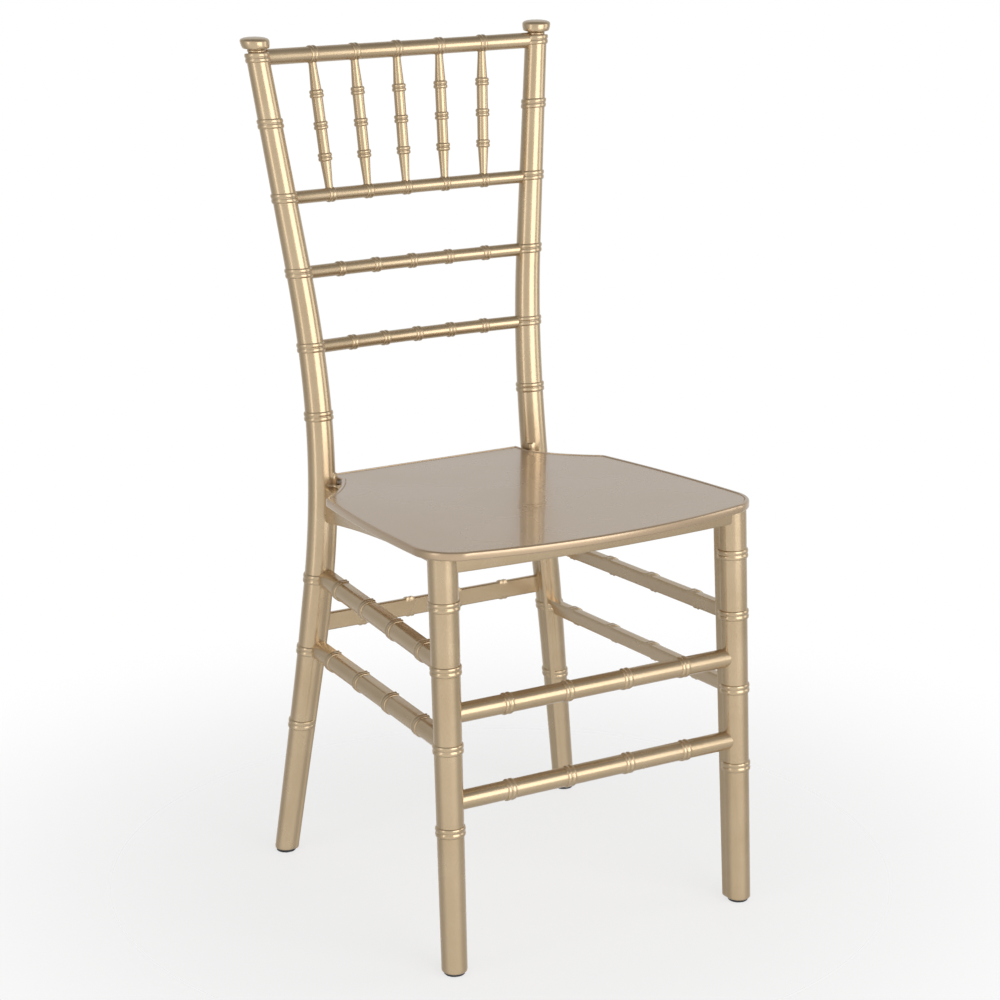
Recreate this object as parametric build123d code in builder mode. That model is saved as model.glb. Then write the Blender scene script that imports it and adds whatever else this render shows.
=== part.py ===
import os
from math import asin, cos, degrees, radians, sin, tan

from build123d import *

# Sizes are in millimetres and angles in degrees. The chair stands on z = 0 and faces -Y.

# Overall
overall_height = 914.0

# Rear posts: a straight splayed leg, a long gentle bend and a straight raked back
post_foot_x = 186.6
post_foot_y = 165.0
leg_splay_angle = 7.14
leg_rake_angle = 3.50
back_splay_angle = 6.92
back_rake_angle = 7.90
splay_bend_from = 321.0
splay_bend_to = 660.0
rake_bend_from = 195.5
rake_bend_to = 529.5
post_foot_radius = 12.6
post_knee_radius = 15.5
post_seat_radius = 15.35
post_waist_radius = 15.1
post_top_radius = 12.4
post_knee_height = 285.0
post_block_drop = 0.5
post_crown = 0.5

# Front legs: straight and slightly tapered
front_foot_x = 177.9
front_foot_y = -209.0
front_splay_angle = 0.36
front_rake_angle = 3.25
front_foot_radius = 13.5
front_top_radius = 15.5

# Legs are squared towards the inner corner of the frame
post_flat_setback = 1.5
front_flat_setback = 0.3
inner_corner_round = 3.0

# Bamboo rings
ring_width = 9.0
ring_proud = 1.4
ring_flat_proud = 0.7

# Rings and stretchers below the seat, as shares of the seat's height
foot_ring_share = 0.3494
front_lower_share = 0.4168
side_lower_share = 0.5470
rear_stretcher_share = 0.6104
front_upper_share = 0.6252
side_upper_share = 0.7328
front_top_ring_share = 0.8834

# Rings and rails above the seat, as shares of the back from its squared block to the crest
waist_ring_share = 0.1400
lower_rail_share = 0.3070
upper_rail_share = 0.4876
spindle_rail_share = 0.6677
shoulder_ring_share = 0.8478
crest_drop = 22.2

# Stretchers and rails
stretcher_radius = 10.4
stretcher_flat = 2.6
side_stretcher_inset = 4.0
crest_radius = 8.5
rail_radius = 7.0
rail_bow = 11.0

# Spindles of the back
spindles = 5
spindle_foot_pitch = 48.6
spindle_head_pitch = 53.3
spindle_radius = 5.4
spindle_peg = 4.0
socket_depth = 4.5

# Seat panel, tilted back
seat_tilt_angle = 2.42
seat_top_height = 441.5
seat_thickness = 9.0
seat_front_y = -235.6
seat_rear_y = 167.4
seat_side_x = 182.8
seat_side_taper_angle = 5.05
seat_front_bow = 28.0
seat_corner_radius = 36.0
ear_y = 63.4
ear_round = 9.0
ear_hollow = 4.0
rim_width = 5.5
rim_height = 1.2
rim_bevel = 1.6

# Aprons under the seat
apron_thickness = 13.0
front_apron_depth = 16.5
front_apron_lead = 12.5
front_apron_bow = 8.0
side_apron_front_depth = 13.0
side_apron_rear_depth = 39.6
side_apron_rise = 6.0
rear_apron_depth = 36.2
rear_apron_bow = 1.0

# Tenons, their mortises and the clearances
stretcher_tenon_width = 9.0
stretcher_tenon_height = 10.0
stretcher_tenon_shift = 3.0
rail_tenon_width = 7.0
rail_tenon_height = 7.0
apron_tenon_width = 6.0
apron_tenon_height = 7.0
tenon_root = 6.0
tenon_reach = 22.0
tenon_fit = 0.12
shoulder_gap = 0.12
cope_gap = 0.5
bedding_gap = 0.1
notch_gap = 0.6

# Finial caps
finial_radius = 16.9
finial_neck_radius = 10.8
finial_neck_height = 6.0
finial_spigot = 5.0
finial_spigot_length = 12.0

# Foot glides
glide_radius = 11.0
glide_height = 3.0
glide_stem = 6.0
glide_stem_length = 14.0

# Lugs under the seat that drop into the front and rear aprons
lug_length = 18.0
lug_width = 5.0
lug_depth = 6.0
lug_half_pitch = 62.0

sides = {"left": -1, "right": 1}

# Heights that follow from the seat's height and the overall height
foot_ring_height = seat_top_height * foot_ring_share
front_lower_height = seat_top_height * front_lower_share
side_lower_height = seat_top_height * side_lower_share
rear_stretcher_height = seat_top_height * rear_stretcher_share
front_upper_height = seat_top_height * front_upper_share
side_upper_height = seat_top_height * side_upper_share
front_top_ring_height = seat_top_height * front_top_ring_share
post_block_top = seat_top_height - post_block_drop
crest_height = overall_height - crest_drop
back_height = crest_height - post_block_top
waist_ring_height = post_block_top + back_height * waist_ring_share
lower_rail_height = post_block_top + back_height * lower_rail_share
upper_rail_height = post_block_top + back_height * upper_rail_share
spindle_rail_height = post_block_top + back_height * spindle_rail_share
shoulder_ring_height = post_block_top + back_height * shoulder_ring_share
below_rings = (foot_ring_height, side_lower_height, side_upper_height)
above_rings = (
    waist_ring_height,
    lower_rail_height,
    upper_rail_height,
    spindle_rail_height,
    shoulder_ring_height,
    crest_height,
)
post_top = crest_height + ring_width / 2 + post_crown

# The rails of the back curve square to the raked posts
back_up = Vector(0, sin(radians(back_rake_angle)), cos(radians(back_rake_angle)))
back_normal = Vector(0, cos(radians(back_rake_angle)), -sin(radians(back_rake_angle)))

# The legs and aprons carry the seat on its tilted underside
seat_normal = Vector(0, sin(radians(seat_tilt_angle)), cos(radians(seat_tilt_angle)))
seat_top = Plane((0, 0, seat_top_height), x_dir=(1, 0, 0), z_dir=seat_normal)
seat_under = seat_top.offset(-seat_thickness)
frame_top = seat_under.offset(-bedding_gap)


def seat_level(y):
    """Height of the seat's underside at one place from front to back."""
    return seat_under.origin.Z - y * tan(radians(seat_tilt_angle))


front_leg_top_y = front_foot_y + seat_top_height * tan(radians(front_rake_angle))
front_apron_end_y = front_leg_top_y - front_apron_lead
front_apron_bottom = seat_level(front_apron_end_y) - front_apron_depth
side_apron_front_bottom = seat_level(front_foot_y) - side_apron_front_depth
side_apron_rear_bottom = seat_level(post_foot_y) - side_apron_rear_depth
rear_apron_bottom = seat_level(post_foot_y) - rear_apron_depth


def bent(height, foot, low_angle, high_angle, bend_from, bend_to):
    """Place along one direction of a line that turns evenly between two heights."""
    low_slope = -tan(radians(low_angle))
    turn = tan(radians(high_angle)) - low_slope
    in_bend = min(max(height - bend_from, 0), bend_to - bend_from)
    above_bend = max(height - bend_to, 0)
    return foot + low_slope * height + turn * (in_bend**2 / (2 * (bend_to - bend_from)) + above_bend)


def post_axis(side, height):
    x = bent(height, post_foot_x, leg_splay_angle, back_splay_angle, splay_bend_from, splay_bend_to)
    y = bent(height, post_foot_y, leg_rake_angle, back_rake_angle, rake_bend_from, rake_bend_to)
    return Vector(side * x, y, height)


def front_axis(side, height):
    x = front_foot_x - height * tan(radians(front_splay_angle))
    y = front_foot_y + height * tan(radians(front_rake_angle))
    return Vector(side * x, y, height)


def between(height, low, low_radius, high, high_radius):
    return low_radius + (high_radius - low_radius) * (height - low) / (high - low)


def post_radius(height):
    if height <= post_knee_height:
        return between(height, 0, post_foot_radius, post_knee_height, post_knee_radius)
    if height <= post_block_top:
        return between(height, post_knee_height, post_knee_radius, post_block_top, post_seat_radius)
    return between(height, post_block_top, post_waist_radius, post_top, post_top_radius)


def front_radius(height):
    return between(height, 0, front_foot_radius, seat_top_height, front_top_radius)


def flat_setback(axis):
    return front_flat_setback if axis is front_axis else post_flat_setback


def section_sketch(place, radius, flat, inner_x, inner_y):
    """A round section, squared towards one corner where a flat is given."""
    with BuildSketch(place) as section:
        Circle(radius)
        if flat:
            with Locations((inner_x * flat / 2, inner_y * flat / 2)):
                Rectangle(flat, flat)
            corner = section.vertices().sort_by(lambda v: inner_x * v.X + inner_y * v.Y)[-1]
            fillet(corner, inner_corner_round)
    return section.sketch


def lengths(axis, side, heights, radius_at, inner_y, grow):
    """Straight lengths of a leg from one height to the next, in the open builder."""
    for low, high in zip(heights, heights[1:]):
        start = axis(side, low)
        run = axis(side, high) - start
        radius = radius_at((low + high) / 2) + grow
        flat = radius - flat_setback(axis) if inner_y else 0
        section = section_sketch(Plane(start, x_dir=(1, 0, 0), z_dir=run), radius, flat, -side, inner_y)
        extrude(section, amount=run.length)


def collars(axis, side, rings, radius_at, inner_y, grow):
    """A bamboo ring round a leg at each of the given heights, level from side to side."""
    for height in rings:
        run = axis(side, height + ring_width) - axis(side, height - ring_width)
        radius = radius_at(height) + grow
        flat = radius - flat_setback(axis) + ring_flat_proud if inner_y else 0
        place = Plane(axis(side, height), x_dir=(1, 0, 0), z_dir=(0, run.Y, run.Z))
        section = section_sketch(place, radius + ring_proud, flat, -side, inner_y)
        extrude(section, amount=ring_width / 2 + grow, both=True)


def front_leg_body(side, grow=0.0):
    """A front leg, left long at both ends."""
    rings = (*below_rings, front_top_ring_height)
    heights = (-glide_height, *rings, seat_top_height + seat_thickness)
    with BuildPart() as body:
        lengths(front_axis, side, heights, front_radius, 1, grow)
        collars(front_axis, side, rings, front_radius, 1, grow)
    return body.part


def rear_post_body(side, grow=0.0):
    """A rear post, left long at both ends: a squared leg up to the seat and a round back above it."""
    with BuildPart() as body:
        lengths(post_axis, side, (-glide_height, *below_rings, post_block_top), post_radius, -1, grow)
        collars(post_axis, side, below_rings, post_radius, -1, grow)
        back_lengths = (post_block_top - ring_width, *above_rings, overall_height)
        lengths(post_axis, side, back_lengths, post_radius, 0, grow)
        collars(post_axis, side, above_rings, post_radius, 0, grow)
    return body.part


bodies = {}
seats = {}
axes = {}
for side_name, side in sides.items():
    front_name = f"front_leg_{side_name}"
    bodies[front_name] = front_leg_body(side)
    seats[front_name] = front_leg_body(side, shoulder_gap)
    axes[front_name] = (front_axis, side)
    rear_name = f"rear_post_{side_name}"
    bodies[rear_name] = rear_post_body(side)
    seats[rear_name] = rear_post_body(side, shoulder_gap)
    axes[rear_name] = (post_axis, side)
mortises = {name: [] for name in axes}


def axis_point(name, height):
    axis, side = axes[name]
    return axis(side, height)


def keep(builder, name):
    builder.part.label = name
    export_step(builder.part, f"parts/{name}.step")


def rod(point, direction, radius, length, mode=Mode.ADD):
    with Locations(Plane(point, z_dir=direction)):
        Cylinder(radius, length, align=(Align.CENTER, Align.CENTER, Align.MIN), mode=mode)


def peg(point, direction, width, height, length, mode=Mode.ADD):
    """A square peg that starts at a point and runs in one direction."""
    upright = abs(direction.Z) > abs(direction.X) + abs(direction.Y)
    x_dir = Vector(1, 0, 0) if upright else direction.cross(Vector(0, 0, 1))
    with Locations(Plane(point, x_dir=x_dir, z_dir=direction)):
        Box(width, height, length, align=(Align.CENTER, Align.CENTER, Align.MIN), mode=mode)


def tenons(ends, width, height):
    """Square tenons at both ends of the open builder's piece, and a note of their mortises."""
    for name, point, inward in ends:
        peg(point + inward * tenon_root, inward, width, height, tenon_reach - tenon_root)
        mortises[name].append((point, inward, width + 2 * tenon_fit, height + 2 * tenon_fit))


def straight_ends(start, end, start_name, end_name):
    """The ends of a straight piece, each with its inward direction."""
    along = (end - start).normalized()
    return ((start_name, start, along), (end_name, end, -along))


def cope(name, height):
    """Hollow the end of the open builder's bar to fit round a leg at one height."""
    axis, side = axes[name]
    radius = front_radius(height) if axis is front_axis else post_radius(height)
    ringed = height in below_rings
    low = axis(side, height - tenon_reach)
    run = axis(side, height + tenon_reach) - low
    rod(low, run, radius + (ring_proud if ringed else 0) + cope_gap, run.length, Mode.SUBTRACT)
    flat = radius - flat_setback(axis) + (ring_flat_proud if ringed else 0) + cope_gap
    inner_y = 1 if axis is front_axis else -1
    foot = Plane(low, x_dir=(1, 0, 0), z_dir=run)
    corner = foot.from_local_coords((-side * flat / 2, inner_y * flat / 2, 0))
    with Locations(Plane(corner, x_dir=(1, 0, 0), z_dir=run)):
        Box(flat, flat, run.length, align=(Align.CENTER, Align.CENTER, Align.MIN), mode=Mode.SUBTRACT)


def stretcher(name, start_name, end_name, height, inside, inset=0.0):
    """A stretcher with a flat inner face, between two legs."""
    start = axis_point(start_name, height) + inside * inset
    end = axis_point(end_name, height) + inside * inset
    along = (end - start).normalized()
    across = (inside - along * inside.dot(along)).normalized()
    shift = across * -stretcher_tenon_shift
    tenon_size = (stretcher_tenon_width, stretcher_tenon_height)
    with BuildPart() as bar:
        rod(start, along, stretcher_radius, (end - start).length)
        split(bisect_by=Plane(start + across * stretcher_flat, z_dir=across), keep=Keep.BOTTOM)
        cope(start_name, height)
        cope(end_name, height)
        tenons(straight_ends(start + shift, end + shift, start_name, end_name), *tenon_size)
    keep(bar, name)


def rail_curve(height):
    """Centre and radius of the curve that a rail of the back follows."""
    end = post_axis(1, height)
    radius = (end.X**2 + rail_bow**2) / (2 * rail_bow)
    return Vector(0, end.Y, end.Z) + back_normal * (rail_bow - radius), radius


def rail_point(height, x):
    centre, radius = rail_curve(height)
    return centre + Vector(x, 0, 0) + back_normal * (radius**2 - x**2) ** 0.5


def rail(name, height, radius, sockets=()):
    """A round rail, curved backward between the posts, with a socket for each spindle."""
    start = axis_point("rear_post_left", height)
    end = axis_point("rear_post_right", height)
    centre, curve_radius = rail_curve(height)
    from_left = (start - centre).cross(back_up).normalized()
    from_right = back_up.cross(end - centre).normalized()
    ends = (("rear_post_left", start, from_left), ("rear_post_right", end, from_right))
    half_length = end.X - post_radius(height) - ring_proud - cope_gap
    shoulder = rail_point(height, -half_length)
    socket = spindle_peg + 2 * tenon_fit
    with BuildPart() as bar:
        with BuildSketch(Plane(shoulder, z_dir=(shoulder - centre).cross(back_up))):
            Circle(radius)
        revolve(axis=Axis(centre, -back_up), revolution_arc=2 * degrees(asin(half_length / curve_radius)))
        tenons(ends, rail_tenon_width, rail_tenon_height)
        for floor, outward in sockets:
            peg(floor, outward, socket, socket, radius, Mode.SUBTRACT)
    keep(bar, name)


def spindle(name, foot, head):
    """A round spindle, pegged into the rails at both ends."""
    run = (head - foot).normalized()
    length = (head - foot).length
    with BuildPart() as body:
        rod(foot, run, spindle_radius, length)
        peg(foot - run * socket_depth, run, spindle_peg, spindle_peg, length + 2 * socket_depth)
    keep(body, name)


def lugs(fit, mode):
    """Lugs on the seat's underside in the open builder, or the pockets for them."""
    bow = front_apron_bow * (1 - (lug_half_pitch / front_foot_x) ** 2)
    front_y = front_apron_end_y - bow + apron_thickness / 2
    rear_y = rear_apron_y - apron_thickness / 2
    for x in (-lug_half_pitch, lug_half_pitch):
        for y in (front_y, rear_y):
            top = Vector(x, y, seat_level(y))
            peg(top, -seat_normal, lug_length + 2 * fit, lug_width + 2 * fit, lug_depth + fit, mode)


def cross_apron(name, start_name, end_name, bottom, end_y, bow):
    """A front or rear rail under the seat, bowed outward in plan."""
    middle_height = (seat_level(end_y) + bottom) / 2
    start = axis_point(start_name, middle_height)
    end = axis_point(end_name, middle_height)
    outward = -1 if end_y < 0 else 1
    inner_y = end_y - outward * apron_thickness
    with BuildPart() as apron:
        with BuildSketch(Plane.XY.offset(bottom)):
            with BuildLine():
                outer = SagittaArc((start.X, end_y), (end.X, end_y), outward * bow)
                inner = SagittaArc((start.X, inner_y), (end.X, inner_y), outward * bow)
                Line(outer @ 0, inner @ 0)
                Line(outer @ 1, inner @ 1)
            make_face()
        extrude(amount=seat_top_height - bottom + seat_thickness)
        split(bisect_by=frame_top, keep=Keep.BOTTOM)
        add(seats[start_name], mode=Mode.SUBTRACT)
        add(seats[end_name], mode=Mode.SUBTRACT)
        tenons(straight_ends(start, end, start_name, end_name), apron_tenon_width, apron_tenon_height)
        lugs(tenon_fit, Mode.SUBTRACT)
    keep(apron, name)


def side_apron(name, front_name, rear_name):
    """A side rail under the seat that deepens towards the back."""
    start = axis_point(front_name, (seat_level(front_foot_y) + side_apron_front_bottom) / 2)
    end = axis_point(rear_name, (seat_level(post_foot_y) + side_apron_rear_bottom) / 2)
    along = Vector(end.X - start.X, end.Y - start.Y, 0)
    elevation = Plane((start.X, start.Y, 0), x_dir=along, z_dir=along.cross(Vector(0, 0, 1)))
    top = seat_top_height + seat_thickness
    with BuildPart() as apron:
        with BuildSketch(elevation):
            with BuildLine():
                bottom = SagittaArc(
                    (0, side_apron_front_bottom), (along.length, side_apron_rear_bottom), side_apron_rise
                )
                Polyline(bottom @ 1, (along.length, top), (0, top), bottom @ 0)
            make_face()
        extrude(amount=apron_thickness / 2, both=True)
        split(bisect_by=frame_top, keep=Keep.BOTTOM)
        add(seats[front_name], mode=Mode.SUBTRACT)
        add(seats[rear_name], mode=Mode.SUBTRACT)
        tenons(straight_ends(start, end, front_name, rear_name), apron_tenon_width, apron_tenon_height)
    keep(apron, name)


def seat_plan():
    """Plan of the seat: bowed front, tapered sides, hollowed ears and notched rear corners."""
    block = post_seat_radius + notch_gap
    slope = tan(radians(seat_side_taper_angle))
    under_post = post_axis(1, seat_level(post_foot_y))
    over_post = post_axis(1, seat_level(post_foot_y) + seat_thickness)
    notch_x = min(under_post.X, over_post.X) - block
    notch_y = min(under_post.Y, over_post.Y) - block
    root = Vector(notch_x, notch_y)
    ear = Vector(seat_side_x - ear_y * slope, ear_y)
    corner_y = seat_front_y + seat_front_bow
    corner = Vector(seat_side_x - corner_y * slope, corner_y)
    hollow = (root + ear) / 2 + Vector(ear.Y - root.Y, root.X - ear.X).normalized() * ear_hollow
    with BuildSketch() as plan:
        with BuildLine():
            ThreePointArc((-corner.X, corner.Y), (0, seat_front_y), (corner.X, corner.Y))
            Line((-notch_x, seat_rear_y), (notch_x, seat_rear_y))
            for side in sides.values():
                Line((side * root.X, seat_rear_y), (side * root.X, root.Y))
                ThreePointArc((side * root.X, root.Y), (side * hollow.X, hollow.Y), (side * ear.X, ear.Y))
                Line((side * ear.X, ear.Y), (side * corner.X, corner.Y))
        make_face()
        fillet(plan.vertices().group_by(Axis.Y)[0], seat_corner_radius)
        fillet(plan.vertices().filter_by(lambda v: abs(v.Y - ear_y) < ear_round), ear_round)
    return plan.sketch


os.makedirs("parts", exist_ok=True)

# Stretchers and side aprons under the seat
front_ends = ("front_leg_left", "front_leg_right")
rear_ends = ("rear_post_left", "rear_post_right")
for level, height in (("upper", front_upper_height), ("lower", front_lower_height)):
    stretcher(f"front_stretcher_{level}", *front_ends, height, Vector(0, 1, 0))
for side_name, side in sides.items():
    front_name = f"front_leg_{side_name}"
    rear_name = f"rear_post_{side_name}"
    for level, height in (("upper", side_upper_height), ("lower", side_lower_height)):
        name = f"side_stretcher_{level}_{side_name}"
        stretcher(name, front_name, rear_name, height, Vector(-side, 0, 0), side_stretcher_inset)
    side_apron(f"side_apron_{side_name}", front_name, rear_name)
stretcher("rear_stretcher", *rear_ends, rear_stretcher_height, Vector(0, -1, 0))

# Spindles of the back and the rails that hold them
low_sockets = []
crest_sockets = []
for number in range(spindles):
    step = number - (spindles - 1) / 2
    low = rail_point(spindle_rail_height, step * spindle_foot_pitch)
    high = rail_point(crest_height, step * spindle_head_pitch)
    run = (high - low).normalized()
    foot = low + run * (rail_radius + cope_gap)
    head = high - run * (crest_radius + cope_gap)
    spindle(f"spindle_{number + 1}", foot, head)
    low_sockets.append((foot - run * (socket_depth + tenon_fit), run))
    crest_sockets.append((head + run * (socket_depth + tenon_fit), -run))
rail("crest_rail", crest_height, crest_radius, crest_sockets)
rail("spindle_rail", spindle_rail_height, rail_radius, low_sockets)
rail("back_rail_upper", upper_rail_height, rail_radius)
rail("back_rail_lower", lower_rail_height, rail_radius)

# Front and rear aprons
rear_apron_y = post_axis(1, rear_apron_bottom).Y + apron_thickness / 2
cross_apron("front_apron", *front_ends, front_apron_bottom, front_apron_end_y, front_apron_bow)
cross_apron("rear_apron", *rear_ends, rear_apron_bottom, rear_apron_y, rear_apron_bow)

# Seat panel with a raised rim
plan = seat_plan()
with BuildPart() as seat:
    with BuildSketch(seat_under):
        add(plan)
    extrude(amount=seat_thickness)
    chamfer(seat.faces().sort_by(Axis((0, 0, 0), seat_normal))[-1].edges(), rim_bevel)
    with BuildSketch(seat_top):
        add(offset(plan, amount=-rim_width, mode=Mode.PRIVATE))
    extrude(amount=-rim_height, mode=Mode.SUBTRACT)
    lugs(0, Mode.ADD)
keep(seat, "seat_panel")

# Legs and posts, with their mortises, glide sockets and finial sockets
floor_up = Vector(0, 0, 1)
stem_socket = glide_stem + 2 * tenon_fit
spigot_socket = finial_spigot + 2 * tenon_fit
for name, (axis, side) in axes.items():
    with BuildPart() as leg:
        add(bodies[name])
        split(bisect_by=Plane.XY.offset(glide_height), keep=Keep.TOP)
        if axis is front_axis:
            split(bisect_by=frame_top, keep=Keep.BOTTOM)
        else:
            split(bisect_by=Plane(axis(side, post_top), z_dir=back_up), keep=Keep.BOTTOM)
            down = axis(side, crest_height) - axis(side, post_top)
            depth = finial_spigot_length + tenon_fit
            peg(axis(side, post_top), down, spigot_socket, spigot_socket, depth, Mode.SUBTRACT)
        for point, inward, width, height in mortises[name]:
            floor = point + inward * (tenon_root - tenon_fit)
            peg(floor, inward, width, height, tenon_reach, Mode.SUBTRACT)
        depth = glide_stem_length + tenon_fit
        peg(axis(side, glide_height), floor_up, stem_socket, stem_socket, depth, Mode.SUBTRACT)
    keep(leg, name)

# Foot glides
with BuildPart() as glides:
    for axis, side in axes.values():
        top = axis(side, glide_height)
        rod(top - floor_up * glide_height, floor_up, glide_radius, glide_height)
        peg(top, floor_up, glide_stem, glide_stem, glide_stem_length)
keep(glides, "foot_glides")

# Finial caps
with BuildPart() as finials:
    for side in sides.values():
        base = post_axis(side, post_top)
        run = (base - post_axis(side, crest_height)).normalized()
        cap_base = base + floor_up * finial_neck_height
        with BuildPart(mode=Mode.PRIVATE) as finial:
            rod(base - floor_up * finial_neck_height, floor_up, finial_neck_radius, 2 * finial_neck_height)
            split(bisect_by=Plane(base, z_dir=back_up), keep=Keep.TOP)
            rod(cap_base, floor_up, finial_radius, overall_height - cap_base.Z)
            peg(base, -run, finial_spigot, finial_spigot, finial_spigot_length)
        add(finial.part)
keep(finials, "finial_caps")
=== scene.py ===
from math import asin, atan2, cos, pi, radians, sin, sqrt, tan

import bmesh
import bpy
from mathutils import Matrix, Vector


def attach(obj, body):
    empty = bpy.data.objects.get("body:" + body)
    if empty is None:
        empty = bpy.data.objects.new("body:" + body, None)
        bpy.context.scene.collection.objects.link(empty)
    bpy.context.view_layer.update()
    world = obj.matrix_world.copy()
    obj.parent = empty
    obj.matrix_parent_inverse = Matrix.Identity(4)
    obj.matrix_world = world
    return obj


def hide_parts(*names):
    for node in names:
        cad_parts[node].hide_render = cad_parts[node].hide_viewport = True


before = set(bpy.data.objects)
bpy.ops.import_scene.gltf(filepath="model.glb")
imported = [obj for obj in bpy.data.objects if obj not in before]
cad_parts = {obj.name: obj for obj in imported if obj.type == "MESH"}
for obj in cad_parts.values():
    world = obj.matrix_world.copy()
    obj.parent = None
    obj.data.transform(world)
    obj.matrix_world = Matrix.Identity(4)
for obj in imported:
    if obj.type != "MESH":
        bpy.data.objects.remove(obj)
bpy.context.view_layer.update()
scene = bpy.context.scene
sides = {"Left": -1, "Right": 1}
print("frame loaded:", len(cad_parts), "nodes")


# Finishes

goldLook = {
    "base": (0.570, 0.438, 0.280, 1.0),
    "pale": (0.620, 0.488, 0.325, 1.0),
    "deep": (0.520, 0.390, 0.238, 1.0),
    "metallic": 0.80,
    "roughness": (0.22, 0.28),
    "coat": 0.25,
    "coatRoughness": 0.16,
    "flakeScale": 1400.0,
    "cloudScale": 22.0,
    "peelScale": 420.0,
    "peelStrength": 0.015,
}
seatLook = {
    "base": (0.530, 0.390, 0.250, 1.0),
    "pale": (0.565, 0.422, 0.280, 1.0),
    "deep": (0.495, 0.360, 0.226, 1.0),
    "metallic": 0.70,
    "roughness": (0.24, 0.32),
    "coat": 0.60,
    "coatRoughness": 0.045,
    "flakeScale": 1400.0,
    "cloudScale": 9.0,
    "peelScale": 260.0,
    "peelStrength": 0.004,
}
glideLook = {
    "base": (0.030, 0.030, 0.032, 1.0),
    "pale": (0.060, 0.060, 0.064, 1.0),
    "deep": (0.018, 0.018, 0.020, 1.0),
    "metallic": 0.0,
    "roughness": (0.48, 0.62),
    "coat": 0.0,
    "coatRoughness": 0.3,
    "flakeScale": 700.0,
    "cloudScale": 60.0,
    "peelScale": 500.0,
    "peelStrength": 0.08,
}
skin = {   # what all the finishes share
    "flakeDetail": 1.0, "cloudDetail": 3.0, "peelDetail": 2.0,
    "cloudRange": (0.30, 0.70), "flakeRange": (0.50, 0.74), "peelDepth": 0.0004,
}


def spreadRange(tree, value, fromRange, toRange=(0.0, 1.0)):
    node = tree.nodes.new("ShaderNodeMapRange")
    node.inputs["From Min"].default_value, node.inputs["From Max"].default_value = fromRange
    node.inputs["To Min"].default_value, node.inputs["To Max"].default_value = toRange
    tree.links.new(value, node.inputs["Value"])
    return node


def makeFinish(name, look):
    mat = bpy.data.materials.new(name)
    mat.use_nodes = True
    nodes = mat.node_tree.nodes
    links = mat.node_tree.links
    shader = nodes["Principled BSDF"]
    coords = nodes.new("ShaderNodeTexCoord")

    def noise(scale, detail):
        tex = nodes.new("ShaderNodeTexNoise")
        tex.inputs["Scale"].default_value = scale
        tex.inputs["Detail"].default_value = detail
        links.new(coords.outputs["Object"], tex.inputs["Vector"])
        return tex

    flake = noise(look["flakeScale"], skin["flakeDetail"])   # pigment flakes
    cloud = noise(look["cloudScale"], skin["cloudDetail"])   # slow drift of the moulding's colour
    peel = noise(look["peelScale"], skin["peelDetail"])   # moulded skin

    drift = nodes.new("ShaderNodeValToRGB")
    for stop, where, tone in zip(drift.color_ramp.elements, skin["cloudRange"], ("deep", "base")):
        stop.position = where
        stop.color = look[tone]
    links.new(cloud.outputs["Fac"], drift.inputs["Fac"])

    spark = spreadRange(mat.node_tree, flake.outputs["Fac"], skin["flakeRange"])
    colour = nodes.new("ShaderNodeMix")
    colour.data_type = "RGBA"
    links.new(spark.outputs["Result"], colour.inputs["Factor"])
    links.new(drift.outputs["Color"], colour.inputs["A"])
    colour.inputs["B"].default_value = look["pale"]
    links.new(colour.outputs["Result"], shader.inputs["Base Color"])

    rough = spreadRange(mat.node_tree, cloud.outputs["Fac"], skin["cloudRange"], look["roughness"])
    links.new(rough.outputs["Result"], shader.inputs["Roughness"])

    bump = nodes.new("ShaderNodeBump")
    bump.inputs["Strength"].default_value = look["peelStrength"]
    bump.inputs["Distance"].default_value = skin["peelDepth"]
    links.new(peel.outputs["Fac"], bump.inputs["Height"])
    links.new(bump.outputs["Normal"], shader.inputs["Normal"])

    shader.inputs["Metallic"].default_value = look["metallic"]
    shader.inputs["Coat Weight"].default_value = look["coat"]
    shader.inputs["Coat Roughness"].default_value = look["coatRoughness"]
    return mat


finishes = {
    "gold_resin": makeFinish("goldResin", goldLook),
    "seat_resin": makeFinish("seatResin", seatLook),
    "glide": makeFinish("glideRubber", glideLook),
}
print("finishes made")


# Shared shaping

shaping = {"seamMerge": 1e-6, "poleMerge": 1e-7, "onAxis": 1e-5, "sharp": 40.0, "mm": 0.001}
bead = {   # rows across half a ring's width, from its middle
    "fullness": 0.75, "clear": 1.25,
    "cuts": (-1.12, -1.0, -0.96, -0.86, -0.70, -0.50, -0.30, -0.14, -0.05,
             0.05, 0.14, 0.30, 0.50, 0.70, 0.86, 0.96, 1.0, 1.12),
}


def keepPiece(bm, name, node, slot="gold_resin", sharp=shaping["sharp"]):
    bmesh.ops.remove_doubles(bm, verts=bm.verts[:], dist=shaping["seamMerge"])
    bmesh.ops.recalc_face_normals(bm, faces=bm.faces[:])
    mesh = bpy.data.meshes.new(name)
    bm.to_mesh(mesh)
    bm.free()
    for poly in mesh.polygons:
        poly.use_smooth = True
    mesh.set_sharp_from_angle(angle=radians(sharp))
    mesh.materials.append(finishes[slot])
    obj = bpy.data.objects.new(name, mesh)
    scene.collection.objects.link(obj)
    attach(obj, "root")
    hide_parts(node)


def turn(profile, steps):
    bm = bmesh.new()
    line = [bm.verts.new((r, 0.0, z)) for r, z in profile]
    for a, b in zip(line, line[1:]):
        bm.edges.new((a, b))
    bmesh.ops.spin(bm, geom=bm.verts[:] + bm.edges[:], axis=(0, 0, 1), cent=(0, 0, 0),
                   angle=2 * pi, steps=steps, use_merge=True)
    bmesh.ops.remove_doubles(bm, verts=bm.verts[:], dist=shaping["poleMerge"])
    return bm


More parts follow.
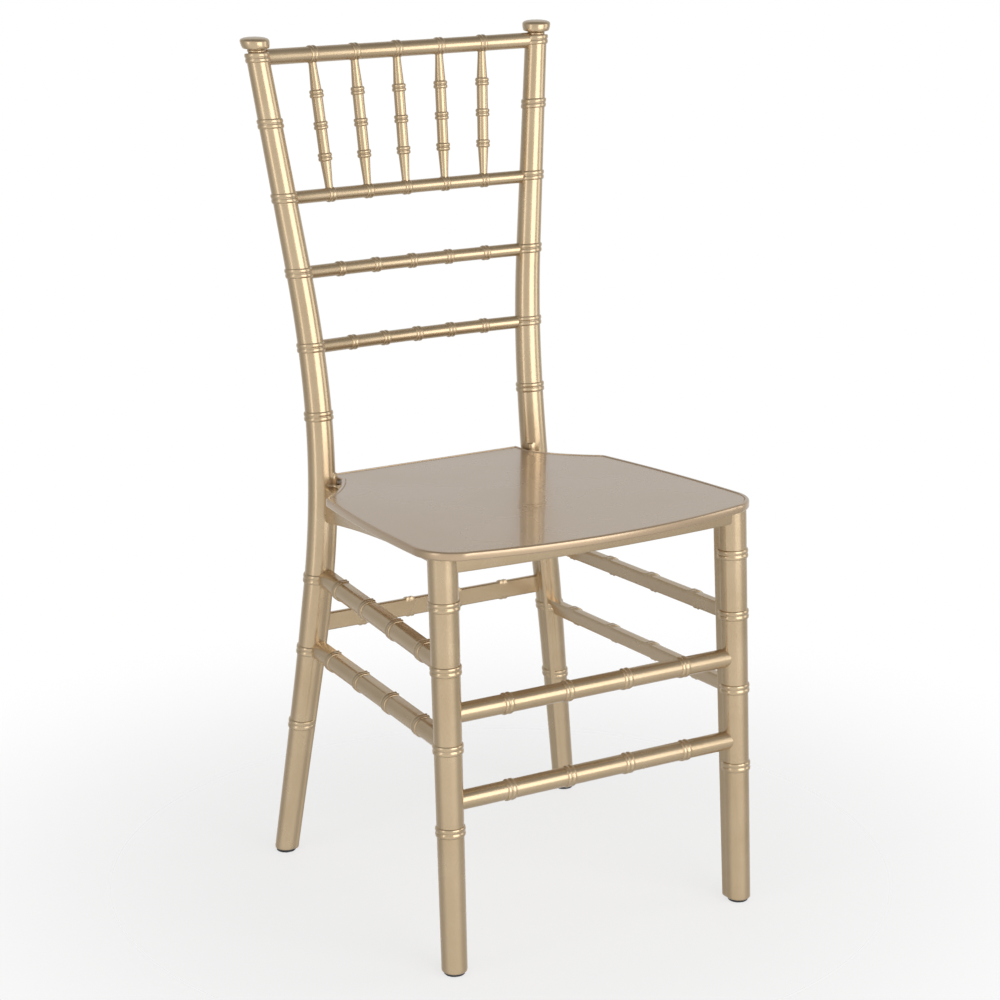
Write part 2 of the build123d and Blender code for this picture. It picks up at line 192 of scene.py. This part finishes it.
def swell(t, ring):
    # two round beads with a groove between them, t from the ring's middle
    quarter = ring["width"] / 4
    off = (abs(t) - quarter) / quarter
    if abs(off) >= 1:
        return 0.0
    rise = sqrt(1 - off * off) ** bead["fullness"]
    if abs(t) < quarter:
        rise = max(rise, ring["groove"])
    return ring["proud"] * rise


def rows(start, end, rings, ring, step):
    # places along a piece: an even spread, with close rows at each ring
    count = max(1, round((end - start) / step))
    places = [start + (end - start) * i / count for i in range(count + 1)]
    half = ring["width"] / 2
    places = [p for p in places if all(abs(p - c) > half * bead["clear"] for c in rings)]
    for c in rings:
        places += [c + half * k for k in bead["cuts"]]
    return sorted(p for p in places if start <= p <= end)


def between(z, table):
    # the radius at one height, from a few heights and their radii
    for (z0, r0), (z1, r1) in zip(table, table[1:]):
        if z <= z1:
            k = (z - z0) / (z1 - z0)
            return r0 + (r1 - r0) * k
    return table[-1][1]


def soften(bm, edges, offset, segments, clamp=False):
    bmesh.ops.bevel(bm, geom=edges, offset=offset, offset_type="OFFSET", segments=segments, profile=0.5,
                    affect="EDGES", material=-1, clamp_overlap=clamp)


def cutAway(bm, point, normal):
    # takes off what lies past a plane, closes the cut and returns its rim
    cut = bmesh.ops.bisect_plane(bm, geom=bm.verts[:] + bm.edges[:] + bm.faces[:], dist=shaping["seamMerge"],
                                 plane_co=point, plane_no=normal, clear_outer=True)
    rim = [g for g in cut["geom_cut"] if isinstance(g, bmesh.types.BMEdge)]
    bmesh.ops.edgeloop_fill(bm, edges=rim)
    return rim


def standAlong(bm, across, deep, along, middle):
    # moves a bar turned about z to its own directions and place
    place = Matrix((across, deep, along)).transposed().to_4x4()
    place.translation = middle
    bmesh.ops.transform(bm, matrix=place, verts=bm.verts[:])


# The seat's slope, which the legs and aprons meet

slope = {"tilt": 2.42, "top": 0.4415, "thick": 0.009}
seatNormal = Vector((0, sin(radians(slope["tilt"])), cos(radians(slope["tilt"]))))
seatUnder = Vector((0, 0, slope["top"])) - seatNormal * slope["thick"]


def underLevel(y):
    return seatUnder.z - y * tan(radians(slope["tilt"]))


# Legs and posts

post = {
    "footX": 0.1866, "footY": 0.1650,
    "legSplay": 7.14, "legRake": 3.50, "backSplay": 6.92, "backRake": 7.70,
    "splayBend": (0.321, 0.660), "rakeBend": (0.1955, 0.5295),
    "radii": ((-0.01, 0.0125), (0.060, 0.0130), (0.125, 0.0136), (0.212, 0.0146), (0.285, 0.0155),
              (0.400, 0.0154), (0.455, 0.0151), (0.520, 0.0147), (0.700, 0.0136), (0.920, 0.0122)),
    "ring": {"width": 0.0105, "proud": 0.0015, "groove": 0.35},
    "rings": (0.1543, 0.2415, 0.3235, 0.5041, 0.5794, 0.6608, 0.7420, 0.8218, 0.8918),
    "blockTop": 0.441, "share": 0.895, "innerY": -1,
    "bottom": 0.003, "top": 0.8975, "step": 0.008, "turns": 88,
}
front = {
    "footX": 0.1779, "footY": -0.2090, "splay": 0.36, "rake": 3.25, "share": 0.982,
    "radii": ((-0.01, 0.0134), (0.45, 0.0155)),
    "ring": {"width": 0.0105, "proud": 0.0015, "groove": 0.35},
    "rings": (0.1543, 0.2415, 0.3235, 0.3900),
    "blockTop": 1.0, "innerY": 1,   # squared all the way up
    "bottom": 0.003, "top": 0.455, "seatGap": 0.0001, "step": 0.012, "turns": 88,
}
square = {   # legs are squared towards the inside of the frame
    "corner": 0.0035, "topEdge": 0.0012, "footRound": 0.0022, "footSegments": 3, "start": -0.006,
    "slopeStep": 0.001,
}


def bent(z, foot, low, high, bend):
    # a line that leans one way low down and turns evenly to another lean
    lowSlope = -tan(radians(low))
    change = tan(radians(high)) - lowSlope
    inside = min(max(z - bend[0], 0.0), bend[1] - bend[0])
    above = max(z - bend[1], 0.0)
    return foot + lowSlope * z + change * (inside ** 2 / (2 * (bend[1] - bend[0])) + above)


def postAxis(side, z):
    x = bent(z, post["footX"], post["legSplay"], post["backSplay"], post["splayBend"])
    y = bent(z, post["footY"], post["legRake"], post["backRake"], post["rakeBend"])
    return Vector((side * x, y, z))


def frontAxis(side, z):
    x = front["footX"] - z * tan(radians(front["splay"]))
    y = front["footY"] + z * tan(radians(front["rake"]))
    return Vector((side * x, y, z))


def axisFrame(axis, side, z):
    # sections lie level from side to side and lean back with the leg
    along = axis(side, z + square["slopeStep"]) - axis(side, z - square["slopeStep"])
    across = Vector((1, 0, 0))
    return axis(side, z), across, along.cross(across).normalized()


def squareReach(angle, flat):
    # distance from the axis to a square corner with a small round, in one direction
    c, s = abs(cos(angle)), abs(sin(angle))
    core = flat - square["corner"]
    reach = flat / max(c, s)
    if min(c, s) * reach > core:   # on the rounded corner
        mid = core * (c + s)
        reach = mid + sqrt(max(mid * mid - 2 * core * core + square["corner"] ** 2, 0.0))
    return reach


def makeLeg(name, node, axis, side, spec, cutTop=None):
    start, top, squareTop = square["start"], spec["top"], spec["blockTop"]
    places = rows(start, top, spec["rings"], spec["ring"], spec["step"])
    if squareTop < top:   # close rows make the block's top a clean step
        places = sorted(places + [squareTop - square["topEdge"], squareTop])
    profile = [(0.0, start)]
    for z in places:
        near = min(spec["rings"], key=lambda c: abs(c - z))
        profile.append((between(z, spec["radii"]) + swell(z - near, spec["ring"]), z))
    profile.append((0.0, top))
    bm = turn(profile, spec["turns"])
    for v in bm.verts:
        z = v.co.z
        reach = sqrt(v.co.x ** 2 + v.co.y ** 2)
        if reach > shaping["onAxis"]:
            inX, inY = -side * v.co.x, spec["innerY"] * v.co.y
            fade = min(max((squareTop - z) / square["topEdge"], 0.0), 1.0)
            if inX > 0 and inY > 0 and fade > 0:
                far = squareReach(atan2(inY, inX), between(z, spec["radii"]) * spec["share"])
                if far > reach:
                    k = 1 + (far / reach - 1) * fade
                    v.co.x *= k
                    v.co.y *= k
        centre, across, deep = axisFrame(axis, side, z)
        v.co = centre + across * v.co.x + deep * v.co.y
    footRim = cutAway(bm, (0, 0, spec["bottom"]), (0, 0, -1))   # level foot with a small round
    soften(bm, footRim, square["footRound"], square["footSegments"], clamp=True)
    if cutTop:
        cutAway(bm, *cutTop)
    keepPiece(bm, name, node)


legTop = (seatUnder - seatNormal * front["seatGap"], seatNormal)
for sideName, side in sides.items():
    sideWord = sideName.lower()
    makeLeg("rearPost" + sideName, "rear_post_" + sideWord, postAxis, side, post)
    makeLeg("frontLeg" + sideName, "front_leg_" + sideWord, frontAxis, side, front, legTop)
print("legs and posts made")


# Stretchers and rails

stretcher = {
    "radius": 0.0103, "flat": 0.0024, "lean": 24.0, "levelFrom": 0.1,
    "reach": 0.007, "sideInset": 0.004, "step": 0.03, "turns": 48,
    "ring": {"width": 0.0105, "proud": 0.0013, "groove": 0.35},
    "front": {
        "Upper": (0.2760, (-0.108, -0.036, 0.036, 0.108)),
        "Lower": (0.1840, (-0.108, -0.036, 0.036, 0.108)),
    },
    "side": {
        "Upper": (0.3235, (-0.111, -0.037, 0.037, 0.111)),
        "Lower": (0.2415, (-0.105, -0.031, 0.043, 0.117)),
    },
    "rear": (0.2695, (-0.092, -0.031, 0.031, 0.092)),
}
rail = {
    "reach": 0.006, "bow": 0.011, "step": 0.01, "turns": 48, "ringSteps": (-2, -1, 0, 1, 2),
    "ring": {"width": 0.0088, "proud": 0.0013, "groove": 0.35},
    "rows": {
        "crestRail": ("crest_rail", 0.8918, 0.0087, 0.05325),
        "spindleRail": ("spindle_rail", 0.7411, 0.0072, 0.0486),
        "backRailUpper": ("back_rail_upper", 0.6599, 0.0072, 0.0462),
        "backRailLower": ("back_rail_lower", 0.5785, 0.0072, 0.0420),
    },
}


def lathe(half, radiusAt, rings, spec):
    # a ringed bar along z, before it is put in place
    profile = [(0.0, -half)]
    for t in rows(-half, half, rings, spec["ring"], spec["step"]):
        near = min(rings, key=lambda c: abs(c - t))
        profile.append((radiusAt(t) + swell(t - near, spec["ring"]), t))
    profile.append((0.0, half))
    return turn(profile, spec["turns"])


def makeStretcher(name, node, rings, start, end, inward, lean=0.0):
    along = (end - start).normalized()
    half = (end - start).length / 2 - stretcher["reach"]
    bm = lathe(half, lambda t: stretcher["radius"], rings, stretcher)
    deep = (inward - along * inward.dot(along)).normalized()
    rise = deep.cross(along)
    upward = 1 if rise.z > 0 else -1
    for v in bm.verts:   # flat inner face; on a leaning one the top runs level out to it
        reach = sqrt(v.co.x ** 2 + v.co.y ** 2)
        if reach > shaping["onAxis"]:
            into, high = v.co.y / reach, upward * v.co.x / reach
            far = reach / high if lean and into > 0 and high > stretcher["levelFrom"] else reach
            facing = into * cos(radians(lean)) - high * sin(radians(lean))
            if facing > 0:
                far = min(far, stretcher["flat"] / facing)
            v.co.x *= far / reach
            v.co.y *= far / reach
    standAlong(bm, rise, deep, along, (start + end) / 2)
    keepPiece(bm, name, node)


for tier, (height, rings) in stretcher["front"].items():
    makeStretcher("stretcherFront" + tier, "front_stretcher_" + tier.lower(), rings,
                  frontAxis(-1, height), frontAxis(1, height), Vector((0, 1, 0)))
height, rings = stretcher["rear"]
makeStretcher("stretcherRear", "rear_stretcher", rings, postAxis(-1, height), postAxis(1, height),
              Vector((0, -1, 0)))
for sideName, side in sides.items():
    inward = Vector((-side, 0, 0))
    shift = inward * stretcher["sideInset"]
    for tier, (height, rings) in stretcher["side"].items():
        makeStretcher("stretcherSide" + tier + sideName,
                      "side_stretcher_" + tier.lower() + "_" + sideName.lower(), rings,
                      frontAxis(side, height) + shift, postAxis(side, height) + shift,
                      inward, stretcher["lean"])

backUp = Vector((0, sin(radians(post["backRake"])), cos(radians(post["backRake"]))))
backNormal = Vector((0, backUp.z, -backUp.y))


def railCurve(height):
    # the rails curve backward, square to the raked posts
    end = postAxis(1, height)
    radius = (end.x ** 2 + rail["bow"] ** 2) / (2 * rail["bow"])
    return Vector((0, end.y, end.z)) + backNormal * (rail["bow"] - radius), radius


def railPoint(height, x):
    centre, radius = railCurve(height)
    return centre + Vector((x, 0, 0)) + backNormal * sqrt(radius ** 2 - x ** 2)


for name, (node, height, thick, pitch) in rail["rows"].items():
    centre, radius = railCurve(height)
    half = radius * asin(postAxis(1, height).x / radius) - rail["reach"]
    bm = lathe(half, lambda t: thick, tuple(pitch * k for k in rail["ringSteps"]), rail)
    for v in bm.verts:
        angle = v.co.z / radius
        out = Vector((sin(angle), 0, 0)) + backNormal * cos(angle)
        v.co = centre + out * (radius + v.co.x) + backUp * v.co.y
    keepPiece(bm, name, node)
print("stretchers and rails made")


# Spindles

spindle = {
    "count": 5, "footPitch": 0.0486, "headPitch": 0.0533,
    "footHeight": 0.7411, "headHeight": 0.8918,
    "body": 0.0062, "footTip": 0.0041, "headTip": 0.0042, "sink": 0.004,
    "ring": {"width": 0.0088, "proud": 0.0017, "groove": 0.40},
    "ringPitch": 0.0345, "ringSteps": (-1, 0, 1), "turns": 40, "step": 0.012,
}


def makeSpindle(number):
    step = number - (spindle["count"] - 1) / 2
    low = railPoint(spindle["footHeight"], step * spindle["footPitch"])
    high = railPoint(spindle["headHeight"], step * spindle["headPitch"])
    along = (high - low).normalized()
    low += along * (rail["rows"]["spindleRail"][2] - spindle["sink"])
    high -= along * (rail["rows"]["crestRail"][2] - spindle["sink"])
    half = (high - low).length / 2
    rings = tuple(spindle["ringPitch"] * k for k in spindle["ringSteps"])
    taper = ((-half, spindle["footTip"]), (-half + spindle["sink"], spindle["footTip"]),
             (rings[0], spindle["body"]), (rings[-1], spindle["body"]),
             (half - spindle["sink"], spindle["headTip"]), (half, spindle["headTip"]))
    bm = lathe(half, lambda t: between(t, taper), rings, spindle)
    across = (Vector((1, 0, 0)) - along * along.x).normalized()
    standAlong(bm, across, along.cross(across), along, (low + high) / 2)
    keepPiece(bm, "spindle%d" % (number + 1), "spindle_%d" % (number + 1))


for number in range(spindle["count"]):
    makeSpindle(number)
print("spindles made")


# Finial caps and foot glides

finial = {
    "base": 0.8968, "turns": 64,   # the profile is in millimetres
    "profile": ((0.0, -3.0), (9.2, -3.0), (9.2, 0.6), (9.5, 1.2), (9.9, 1.9), (10.0, 2.6), (9.9, 3.3),
                (9.5, 3.9), (9.1, 4.3), (9.1, 4.8), (13.2, 5.0), (14.1, 5.3), (14.6, 5.9), (15.3, 8.0),
                (15.7, 10.5), (15.9, 12.6), (15.7, 13.6), (15.1, 14.5), (14.0, 15.3), (12.0, 16.0),
                (9.0, 16.5), (5.0, 16.9), (0.0, 17.1)),
}
glide = {
    "turns": 40,   # the profile is in millimetres
    "profile": ((0.0, 0.0), (9.6, 0.0), (10.4, 0.3), (10.9, 0.9), (11.0, 1.6), (11.0, 3.2), (0.0, 3.2)),
}


def turnMillimetres(spec):
    return turn([(r * shaping["mm"], z * shaping["mm"]) for r, z in spec["profile"]], spec["turns"])


def gather(parts):
    whole = bmesh.new()
    for bm in parts:
        spare = bpy.data.meshes.new("spare")
        bm.to_mesh(spare)
        bm.free()
        whole.from_mesh(spare)
        bpy.data.meshes.remove(spare)
    return whole


caps = []
for side in sides.values():
    bm = turnMillimetres(finial)
    for v in bm.verts:   # the cap follows the post's lean but its edges stay level
        v.co = postAxis(side, finial["base"] + v.co.z) + Vector((v.co.x, v.co.y, 0.0))
    caps.append(bm)
keepPiece(gather(caps), "finialCaps", "finial_caps")

feet = []
for axis, side in ((frontAxis, -1), (frontAxis, 1), (postAxis, -1), (postAxis, 1)):
    bm = turnMillimetres(glide)
    foot = axis(side, post["bottom"])
    bmesh.ops.translate(bm, vec=(foot.x, foot.y, 0.0), verts=bm.verts[:])
    feet.append(bm)
keepPiece(gather(feet), "footGlides", "foot_glides", "glide")
print("finial caps and foot glides made")


# Seat panel

seat = {
    "frontY": -0.2366, "rearY": 0.1674, "sideX": 0.1836, "taper": 5.05, "sideBow": 0.0035,
    "bow": 0.0345, "cornerRound": 0.050, "earY": 0.0680, "earRound": 0.016,
    "hollow": (0.1458, 0.0991), "notchX": 0.1209, "notchY": 0.1396,
    "rim": 0.0042, "wall": 0.0006, "sink": 0.0014, "bed": 0.0006, "rise": 0.0006,
    "topRound": 0.0025, "topSegments": 5, "underRound": 0.0020, "underSegments": 3, "sharp": 30.0,
    "bowSteps": 48, "cornerSteps": 12, "sideSteps": 12, "earSteps": 8, "hollowSteps": 18,
    "bowLead": 3, "hollowLead": 5,   # points from a curve's end that give its direction there
    "middleClear": 0.001, "joinClear": 0.002, "levelFrom": 0.9,
}


def arcThrough(a, b, c, count):
    # points along the arc through three places
    (ax, ay), (bx, by), (cx, cy) = a, b, c
    d = 2 * (ax * (by - cy) + bx * (cy - ay) + cx * (ay - by))
    aa, bb, cc = ax * ax + ay * ay, bx * bx + by * by, cx * cx + cy * cy
    ux = (aa * (by - cy) + bb * (cy - ay) + cc * (ay - by)) / d
    uy = (aa * (cx - bx) + bb * (ax - cx) + cc * (bx - ax)) / d
    radius = sqrt((ax - ux) ** 2 + (ay - uy) ** 2)
    start, mid, end = (atan2(y - uy, x - ux) for x, y in (a, b, c))
    sweep = (end - start) % (2 * pi)
    if (mid - start) % (2 * pi) > sweep:
        sweep -= 2 * pi
    angles = [start + sweep * i / count for i in range(count + 1)]
    return [Vector((ux + radius * cos(angle), uy + radius * sin(angle))) for angle in angles]


def roundCorner(before, corner, after, radius, count):
    # points along the arc that rounds a corner between two straight runs
    u = (before - corner).normalized()
    v = (after - corner).normalized()
    half = u.angle(v) / 2
    centre = corner + (u + v).normalized() * (radius / sin(half))
    start = corner + u * (radius / tan(half)) - centre
    end = corner + v * (radius / tan(half)) - centre
    spread = start.angle(end)
    return [centre + (start * sin(spread * (1 - i / count)) + end * sin(spread * i / count)) / sin(spread)
            for i in range(count + 1)]


def seatOutline():
    lean = tan(radians(seat["taper"]))
    cornerY = seat["frontY"] + seat["bow"]
    corner = Vector((seat["sideX"] - cornerY * lean, cornerY))
    ear = Vector((seat["sideX"] - seat["earY"] * lean, seat["earY"]))
    bowed = arcThrough((-corner.x, corner.y), (0.0, seat["frontY"]), (corner.x, corner.y), seat["bowSteps"])
    rounded = roundCorner(bowed[-seat["bowLead"]], corner, ear, seat["cornerRound"], seat["cornerSteps"])
    hollow = arcThrough((seat["notchX"], seat["notchY"]), seat["hollow"], (ear.x, ear.y), seat["hollowSteps"])
    earTip = roundCorner(corner, ear, hollow[-seat["hollowLead"]], seat["earRound"], seat["earSteps"])
    half = [p for p in bowed if seat["middleClear"] < p.x < rounded[0].x - seat["joinClear"]] + rounded
    for step in range(1, seat["sideSteps"]):
        k = step / seat["sideSteps"]
        half.append(rounded[-1].lerp(earTip[0], k) + Vector((seat["sideBow"] * 4 * k * (1 - k), 0.0)))
    half += earTip + [p for p in reversed(hollow) if p.y > earTip[-1].y + seat["joinClear"]]
    half += [Vector((seat["notchX"], seat["rearY"]))]
    return [Vector((0.0, seat["frontY"]))] + half + [Vector((-p.x, p.y)) for p in reversed(half)]


def makeSeat():
    bm = bmesh.new()
    panel = bm.faces.new([bm.verts.new((p.x, p.y, 0.0)) for p in seatOutline()])
    bmesh.ops.recalc_face_normals(bm, faces=[panel])
    grown = bmesh.ops.extrude_face_region(bm, geom=[panel])
    raised = [g for g in grown["geom"] if isinstance(g, bmesh.types.BMVert)]
    bmesh.ops.translate(bm, vec=(0, 0, slope["thick"]), verts=raised)
    bmesh.ops.recalc_face_normals(bm, faces=bm.faces[:])
    byHeight = sorted(bm.faces, key=lambda f: f.calc_center_median().z)
    underRim, topRim = list(byHeight[0].edges), list(byHeight[-1].edges)
    soften(bm, topRim, seat["topRound"], seat["topSegments"])
    soften(bm, underRim, seat["underRound"], seat["underSegments"])
    lid = max((f for f in bm.faces if f.normal.z > seat["levelFrom"]), key=lambda f: f.calc_area())
    flatRim = seat["rim"] - seat["topRound"]
    for width, depth in ((flatRim, 0.0), (seat["wall"], -seat["sink"]), (seat["bed"], seat["rise"])):
        bmesh.ops.inset_region(bm, faces=[lid], thickness=width, depth=depth, use_even_offset=True)
    place = Matrix.Rotation(-radians(slope["tilt"]), 4, "X")
    place.translation = seatUnder
    bmesh.ops.transform(bm, matrix=place, verts=bm.verts[:])
    keepPiece(bm, "seatPanel", "seat_panel", "seat_resin", seat["sharp"])


makeSeat()
print("seat panel made")


# Aprons under the seat

apron = {
    "thick": 0.013, "round": 0.0025, "roundShare": 0.29, "cuts": 24, "gap": 0.0001, "endDrop": 0.012,
    "frontLead": 0.0125, "frontDepth": 0.0165, "frontBow": 0.008,
    "sideFrontDepth": 0.0130, "sideRearDepth": 0.0416, "sideRise": 0.006,
    "sideOut": -0.002, "sideIn": 0.005,
    "rearDepth": 0.0362, "rearBow": 0.001,
}


def makeApron(name, node, start, end, outward, lows, bow=0.0, rise=0.0):
    # a section with a rounded lower edge, drawn along the bar and then fitted to the seat
    length = (end - start).length
    along = (end - start).normalized()
    thick, soft = apron["thick"], apron["round"]
    mid, upper = soft * apron["roundShare"], 1.0   # upper marks what ends at the seat
    bm = bmesh.new()
    corners = ((0.0, upper), (0.0, soft), (mid, mid), (soft, 0.0), (thick - soft, 0.0),
               (thick - mid, mid), (thick, soft), (thick, upper))
    section = bm.faces.new([bm.verts.new((x, 0.0, z)) for x, z in corners])
    bmesh.ops.spin(bm, geom=[section] + list(section.edges) + list(section.verts), axis=(0, 0, 1),
                   cent=(0, 0, 0), angle=0.0, steps=apron["cuts"], dvec=(0.0, length / apron["cuts"], 0.0))
    for v in bm.verts:
        k = v.co.y / length
        hump = 4 * k * (1 - k)
        place = start + along * v.co.y + outward * (bow * hump - v.co.x)
        if v.co.z > upper / 2:
            place.z = underLevel(place.y) - apron["gap"]
        else:
            place.z = lows[0] + (lows[1] - lows[0]) * k + rise * hump + v.co.z
        v.co = place
    keepPiece(bm, name, node)


def endAt(axis, side, y):
    # where a bar under the seat meets the middle of a leg, seen from above
    point = axis(side, underLevel(y) - apron["endDrop"])
    return Vector((point.x, point.y, 0.0))


frontY = front["footY"] + slope["top"] * tan(radians(front["rake"])) - apron["frontLead"]
frontLow = underLevel(frontY) - apron["frontDepth"]
ends = [Vector((endAt(frontAxis, side, frontY).x, frontY, 0.0)) for side in sides.values()]
makeApron("frontApron", "front_apron", ends[0], ends[1], Vector((0, -1, 0)), (frontLow, frontLow),
          bow=apron["frontBow"])
rearLow = underLevel(post["footY"]) - apron["rearDepth"]
ends = [postAxis(side, rearLow) + Vector((0.0, apron["thick"] / 2, -rearLow)) for side in sides.values()]
makeApron("rearApron", "rear_apron", ends[0], ends[1], Vector((0, 1, 0)), (rearLow, rearLow),
          bow=apron["rearBow"])
sideLows = (underLevel(front["footY"]) - apron["sideFrontDepth"],
            underLevel(post["footY"]) - apron["sideRearDepth"])
for sideName, side in sides.items():
    start = endAt(frontAxis, side, front["footY"]) + Vector((side * apron["sideOut"], 0.0, 0.0))
    end = endAt(postAxis, side, post["footY"]) - Vector((side * apron["sideIn"], 0.0, 0.0))
    across = Vector((end.y - start.y, start.x - end.x, 0.0)).normalized() * side
    shift = across * (apron["thick"] / 2)
    makeApron("sideApron" + sideName, "side_apron_" + sideName.lower(), start + shift, end + shift, across,
              sideLows, rise=apron["sideRise"])
print("aprons made")


# Studio

studio = {
    "camera": (-1.4123, -2.3918, 1.2216), "aim": (0.0, -0.0136, 0.4500),
    "lens": 96.2, "shift": (-0.0065, -0.0171),
    "sensor": 36.0, "clip": (0.1, 60.0),
    "floorSize": 1.8, "floorSides": 64, "floorFade": (0.25, 0.90), "floorHold": 0.32,
    "floorBase": (0.96, 0.96, 0.96, 1.0), "floorRoughness": 0.7,
    "toCamera": (-0.508, -0.861, 0.0),
    "around": ((0.0, 0.72), (0.10, 0.69), (0.30, 0.42), (0.55, 0.46), (0.80, 0.86), (1.0, 0.86)),
    "upward": ((0.0, 1.10), (0.47, 1.10), (0.51, 1.00), (0.75, 1.00), (0.95, 0.50)),
    "lamps": (
        ("rightBox", (0.64, -2.93, 1.10), (0, 0, 0.6), (2.4, 2.2), 36.0),
        ("sideBox", (2.70, -1.25, 1.10), (0, 0, 0.6), (1.2, 2.2), 11.0),
        ("leftBox", (-2.9, -0.48, 1.10), (0, 0, 0.6), (0.70, 2.2), 7.0),
    ),
}


def aimAt(obj, target):
    obj.rotation_mode = "QUATERNION"
    obj.rotation_quaternion = (Vector(target) - obj.location).to_track_quat("-Z", "Y")


def makeCamera():
    camera = bpy.data.objects.new("camera", bpy.data.cameras.new("camera"))
    scene.collection.objects.link(camera)
    camera.location = studio["camera"]
    aimAt(camera, studio["aim"])
    camera.data.sensor_width = studio["sensor"]
    camera.data.lens = studio["lens"]
    camera.data.shift_x, camera.data.shift_y = studio["shift"]
    camera.data.clip_start, camera.data.clip_end = studio["clip"]
    scene.camera = camera


def makeLamps():
    for name, place, target, size, power in studio["lamps"]:
        lamp = bpy.data.objects.new(name, bpy.data.lights.new(name, "AREA"))
        lamp.data.shape = "RECTANGLE"
        lamp.data.size, lamp.data.size_y = size
        lamp.data.energy = power
        lamp.location = place
        scene.collection.objects.link(lamp)
        aimAt(lamp, target)


def makeFloor():
    bm = bmesh.new()
    bmesh.ops.create_circle(bm, cap_ends=True, radius=studio["floorSize"], segments=studio["floorSides"])
    mesh = bpy.data.meshes.new("studioFloor")
    bm.to_mesh(mesh)
    bm.free()
    floor = bpy.data.objects.new("studioFloor", mesh)
    scene.collection.objects.link(floor)
    mat = bpy.data.materials.new("paleFloor")
    mat.use_nodes = True
    nodes, links = mat.node_tree.nodes, mat.node_tree.links
    pale = nodes["Principled BSDF"]
    pale.inputs["Base Color"].default_value = studio["floorBase"]
    pale.inputs["Roughness"].default_value = studio["floorRoughness"]
    coords = nodes.new("ShaderNodeTexCoord")
    reach = nodes.new("ShaderNodeVectorMath")
    reach.operation = "LENGTH"
    links.new(coords.outputs["Object"], reach.inputs[0])
    fade = spreadRange(mat.node_tree, reach.outputs["Value"], studio["floorFade"], (studio["floorHold"], 0.0))
    fade.interpolation_type = "SMOOTHSTEP"
    links.new(fade.outputs["Result"], pale.inputs["Alpha"])
    mesh.materials.append(mat)


def greyStops(tree, value, stops):
    # grey stops spread over a direction's share from -1 to 1
    share = spreadRange(tree, value, (-1.0, 1.0))
    ramp = tree.nodes.new("ShaderNodeValToRGB")
    while len(ramp.color_ramp.elements) < len(stops):
        ramp.color_ramp.elements.new(0.5)
    for stop, (where, grey) in zip(ramp.color_ramp.elements, stops):
        stop.position = where
        stop.color = (grey, grey, grey, 1.0)
    tree.links.new(share.outputs["Result"], ramp.inputs["Fac"])
    return ramp.outputs["Color"]


def makeWorld():
    # white where the camera sees it, and as light pale behind the chair, dimmer at the sides and overhead
    world = bpy.data.worlds.new("studioWorld")
    world.use_nodes = True
    scene.world = world
    tree = world.node_tree
    nodes, links = tree.nodes, tree.links
    backdrop = nodes["Background"]
    backdrop.inputs["Color"].default_value = (1.0, 1.0, 1.0, 1.0)
    path = nodes.new("ShaderNodeLightPath")
    seen = nodes.new("ShaderNodeMath")
    seen.operation = "MAXIMUM"
    links.new(path.outputs["Is Camera Ray"], seen.inputs[0])
    links.new(path.outputs["Is Transmission Ray"], seen.inputs[1])
    coords = nodes.new("ShaderNodeTexCoord")
    facing = nodes.new("ShaderNodeVectorMath")
    facing.operation = "DOT_PRODUCT"
    links.new(coords.outputs["Generated"], facing.inputs[0])
    facing.inputs[1].default_value = studio["toCamera"]
    split = nodes.new("ShaderNodeSeparateXYZ")
    links.new(coords.outputs["Generated"], split.inputs["Vector"])
    glow = nodes.new("ShaderNodeMath")
    glow.operation = "MULTIPLY"
    links.new(greyStops(tree, facing.outputs["Value"], studio["around"]), glow.inputs[0])
    links.new(greyStops(tree, split.outputs["Z"], studio["upward"]), glow.inputs[1])
    strength = spreadRange(tree, seen.outputs["Value"], (0.0, 1.0))
    links.new(glow.outputs["Value"], strength.inputs["To Min"])
    links.new(strength.outputs["Result"], backdrop.inputs["Strength"])


makeCamera()
makeLamps()
makeFloor()
makeWorld()
scene.view_settings.view_transform = "Standard"
print("studio set")
